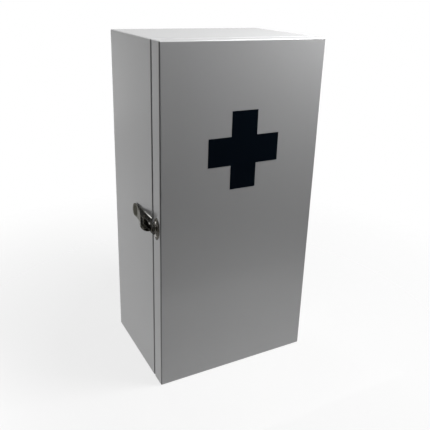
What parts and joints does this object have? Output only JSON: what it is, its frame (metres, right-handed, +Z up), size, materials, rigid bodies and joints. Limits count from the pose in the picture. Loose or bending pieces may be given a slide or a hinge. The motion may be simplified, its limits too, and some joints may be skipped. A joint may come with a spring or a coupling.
{
  "type": "medicine cabinet",
  "caption": "Upright wooden medicine cabinet with a hollow lid door hinged on the right, a toggle latch on the left and shelves inside.",
  "frame": {"origin": "middle of the cabinet's foot, between door front and back edge", "axes": "+X to the right of someone who faces the door, +Y from the door to the back, +Z up"},
  "size_m": [0.2228, 0.1552, 0.42],
  "materials": {
    "painted_board": "light grey satin lacquer on fibreboard",
    "painted_back_panel": "light grey matt paint on thin board",
    "cross_film": "very dark blue matt film",
    "bright_steel": "bright nickel plate",
    "hinge_steel": "nickel plated, slightly dull",
    "antique_nickel": "dark antique nickel plate, polished on the raised edges"
  },
  "bodies": {
    "cabinet": {"left_side_board": "painted_board", "right_side_board": "painted_board", "top_board": "painted_board", "bottom_board": "painted_board", "back_panel": "painted_back_panel", "back_panel_pins": "bright_steel", "corner_brads": "bright_steel", "lower_shelf": "painted_board", "upper_shelf": "painted_board", "lower_hinge_cabinet_leaf": "hinge_steel", "lower_hinge_pin": "hinge_steel", "upper_hinge_cabinet_leaf": "hinge_steel", "upper_hinge_pin": "hinge_steel", "hinge_cabinet_screws": "bright_steel", "latch_base_plate": "antique_nickel", "latch_base_screws": "bright_steel", "latch_pivot_rivets": "antique_nickel"},
    "door": {"door_front_panel": "painted_board", "door_latch_stile": "painted_board", "door_hinge_stile": "painted_board", "door_top_rail": "painted_board", "door_bottom_rail": "painted_board", "door_corner_brads": "bright_steel", "cross_emblem": "cross_film", "hinge_door_screws": "bright_steel", "latch_catch_plate": "antique_nickel", "latch_catch_screws": "bright_steel", "lower_hinge_door_leaf": "hinge_steel", "upper_hinge_door_leaf": "hinge_steel"},
    "latch_lever": {"latch_lever": "antique_nickel", "latch_loop_pin": "antique_nickel"},
    "latch_loop": {"latch_loop": "antique_nickel"}
  },
  "joints": [
    {"name": "door_hinge", "type": "hinge", "parent": "cabinet", "child": "door", "pos_m": [0.10715, -0.0556, 0.21], "axis": [0, 0, 1], "range_deg": [0, 180]},
    {"name": "latch_lever_hinge", "type": "hinge", "parent": "cabinet", "child": "latch_lever", "pos_m": [-0.1102, -0.044, 0.211], "axis": [0, 0, 1], "range_deg": [0, 135]},
    {"name": "latch_loop_hinge", "type": "hinge", "parent": "latch_lever", "child": "latch_loop", "pos_m": [-0.109, -0.036, 0.211], "axis": [0, 0, 1], "range_deg": [-150, 0]}
  ],
  "couplings": [
    {"joint": "latch_loop_hinge", "follows": "latch_lever_hinge", "ratio": -1.1}
  ]
}
